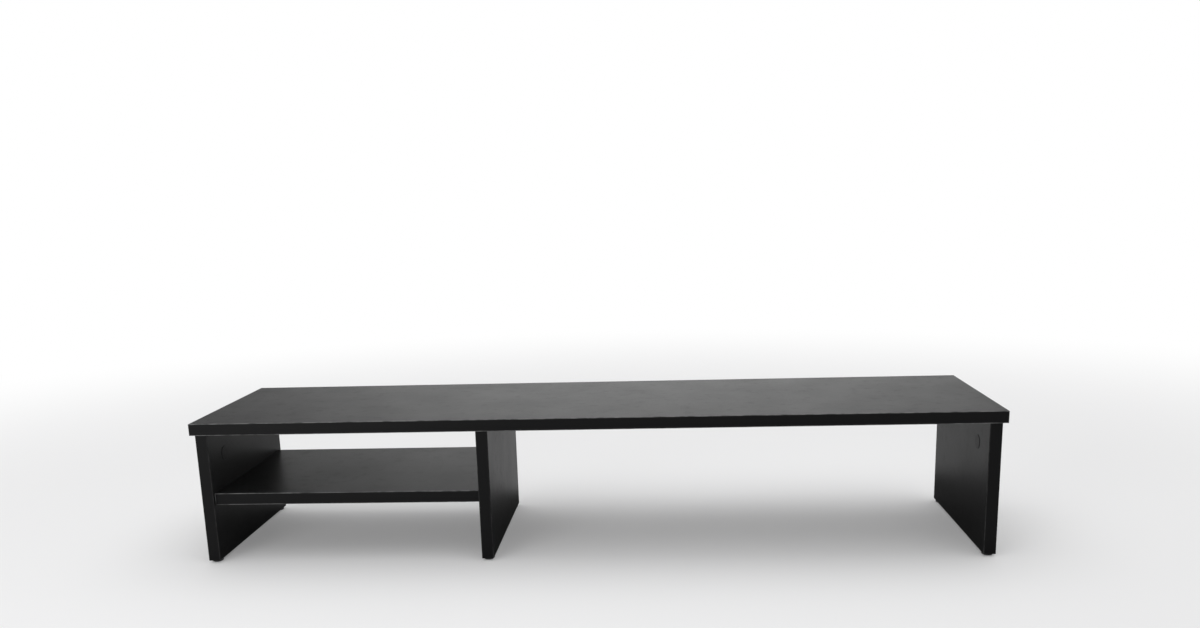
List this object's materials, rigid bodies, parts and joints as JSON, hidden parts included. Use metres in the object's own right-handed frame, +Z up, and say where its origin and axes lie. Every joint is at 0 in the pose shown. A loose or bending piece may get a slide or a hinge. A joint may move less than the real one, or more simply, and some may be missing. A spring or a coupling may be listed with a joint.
{
  "type": "desktop monitor riser",
  "caption": "Long low board on three upright panels that raises a display above a desk, with a half-width shelf in its left bay and a wide open bay on the right.",
  "frame": {"origin": "on the desk surface, below the middle of the top board", "axes": "+X along the riser to the right as seen by a person at the desk, +Y away from that person to the rear, +Z up"},
  "size_m": [1, 0.25, 0.183],
  "materials": {
    "melamine_board": "black melamine-faced chipboard, satin, finely textured",
    "edge_band": "black ABS edge band, satin, rounded arrises",
    "beech": "fluted beech, raw",
    "bolt_steel": "zinc-plated steel",
    "cam_zinc": "die-cast zinc, matt",
    "cover_foil": "black decor foil, self-adhesive",
    "glide_plastic": "black polyethylene, smooth",
    "nail_steel": "bright steel"
  },
  "bodies": {
    "root": {"top_board": "melamine_board", "left_panel": "melamine_board", "middle_panel": "melamine_board", "right_panel": "melamine_board", "shelf_board": "melamine_board", "top_front_band": "edge_band", "top_rear_band": "edge_band", "top_left_band": "edge_band", "top_right_band": "edge_band", "left_panel_front_band": "edge_band", "left_panel_rear_band": "edge_band", "left_panel_bottom_band": "edge_band", "middle_panel_front_band": "edge_band", "middle_panel_rear_band": "edge_band", "middle_panel_bottom_band": "edge_band", "right_panel_front_band": "edge_band", "right_panel_rear_band": "edge_band", "right_panel_bottom_band": "edge_band", "shelf_front_band": "edge_band", "shelf_rear_band": "edge_band", "left_top_dowels": "beech", "middle_top_dowels": "beech", "right_top_dowels": "beech", "shelf_left_dowels": "beech", "shelf_right_dowels": "beech", "left_top_bolts": "bolt_steel", "middle_top_bolts": "bolt_steel", "right_top_bolts": "bolt_steel", "shelf_left_bolts": "bolt_steel", "shelf_right_bolts": "bolt_steel", "left_panel_cams": "cam_zinc", "middle_panel_cams": "cam_zinc", "right_panel_cams": "cam_zinc", "shelf_cams": "cam_zinc", "left_panel_cam_covers": "cover_foil", "middle_panel_cam_covers": "cover_foil", "right_panel_cam_covers": "cover_foil", "shelf_cam_covers": "cover_foil", "left_panel_glides": "glide_plastic", "middle_panel_glides": "glide_plastic", "right_panel_glides": "glide_plastic", "left_panel_glide_nails": "nail_steel", "middle_panel_glide_nails": "nail_steel", "right_panel_glide_nails": "nail_steel"}
  },
  "joints": []
}
